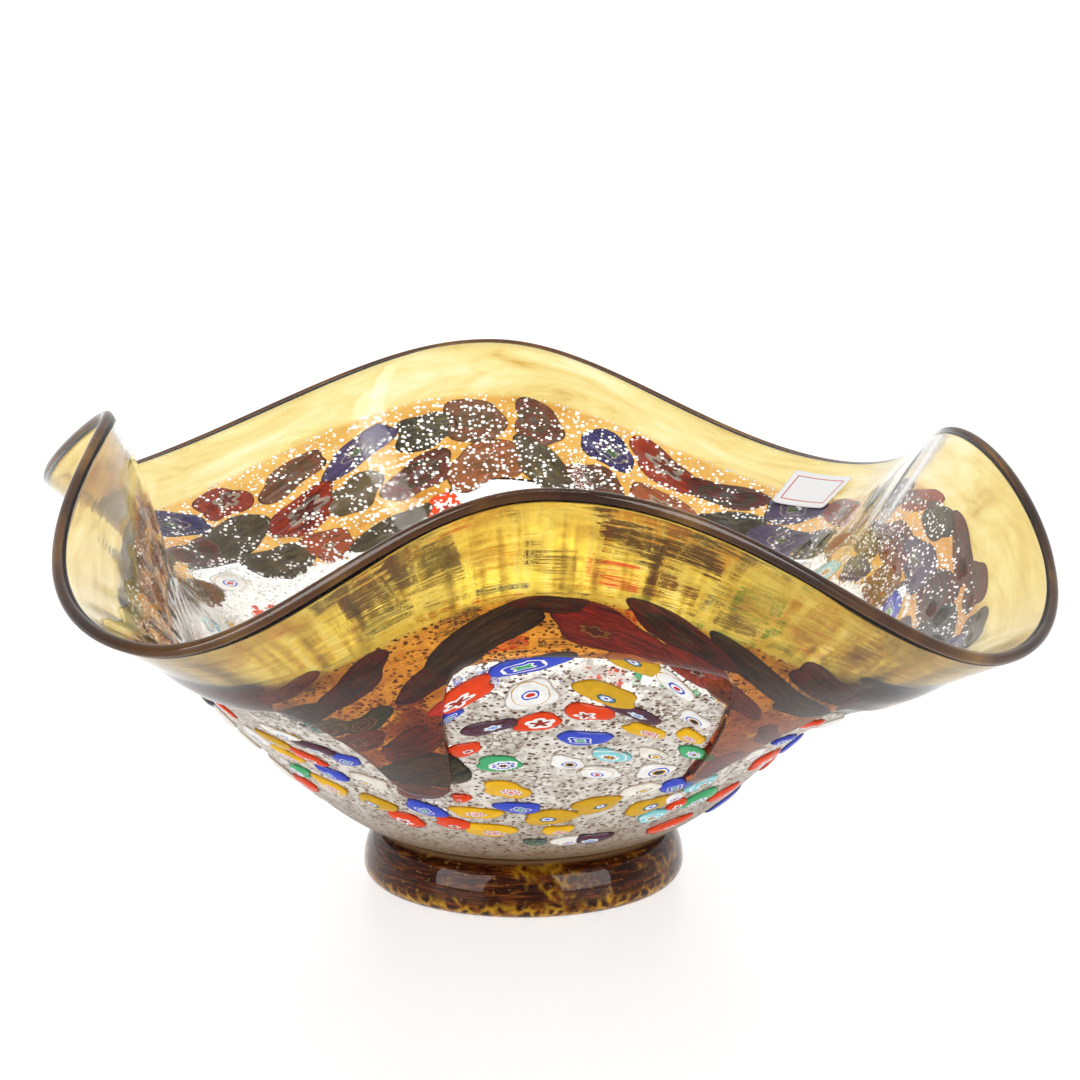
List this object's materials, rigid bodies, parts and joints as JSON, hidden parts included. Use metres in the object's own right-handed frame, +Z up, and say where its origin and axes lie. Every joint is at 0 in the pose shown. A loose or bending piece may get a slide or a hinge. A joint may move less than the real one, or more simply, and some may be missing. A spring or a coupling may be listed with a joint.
{
  "type": "art glass bowl",
  "caption": "Free-standing blown glass bowl with a wavy lobed amber rim, silver leaf and coloured cane slices in its wall, on a ring foot.",
  "frame": {"origin": "centre of the foot's flat standing ring, on the table", "axes": "+Z up; -Y towards the front crest of the rim; +X to the right"},
  "size_m": [0.3385, 0.3549, 0.1686],
  "materials": {
    "clear_gather": "polished",
    "silver_leaf": "silver leaf broken into specks",
    "amber_overlay": "polished, streaky",
    "rim_lip": "fire-polished",
    "foot_ring": "polished, mottled",
    "paper_label": "coated paper",
    "murrine_red_star": "polished cane slice",
    "murrine_white_ring": "polished cane slice",
    "murrine_ochre_eye": "polished cane slice",
    "murrine_yellow_flower": "polished cane slice",
    "murrine_cobalt": "polished cane slice",
    "murrine_turquoise": "polished cane slice",
    "murrine_green": "polished cane slice",
    "murrine_black_eye": "polished cane slice",
    "murrine_aubergine": "polished cane slice",
    "murrine_red": "polished cane slice",
    "murrine_white_ochre": "polished cane slice",
    "murrine_bottle_green": "polished cane slice",
    "murrine_brown": "polished cane slice",
    "murrine_orange": "polished cane slice"
  },
  "bodies": {
    "root": {"clear_gather": "clear_gather", "silver_leaf": "silver_leaf", "amber_overlay": "amber_overlay", "rim_lip": "rim_lip", "foot_ring": "foot_ring", "paper_label": "paper_label", "murrine_red_star": "murrine_red_star", "murrine_white_ring": "murrine_white_ring", "murrine_ochre_eye": "murrine_ochre_eye", "murrine_yellow_flower": "murrine_yellow_flower", "murrine_cobalt": "murrine_cobalt", "murrine_turquoise": "murrine_turquoise", "murrine_green": "murrine_green", "murrine_black_eye": "murrine_black_eye", "murrine_aubergine": "murrine_aubergine", "murrine_red": "murrine_red", "murrine_white_ochre": "murrine_white_ochre", "murrine_bottle_green": "murrine_bottle_green", "murrine_brown": "murrine_brown", "murrine_orange": "murrine_orange"}
  },
  "joints": []
}
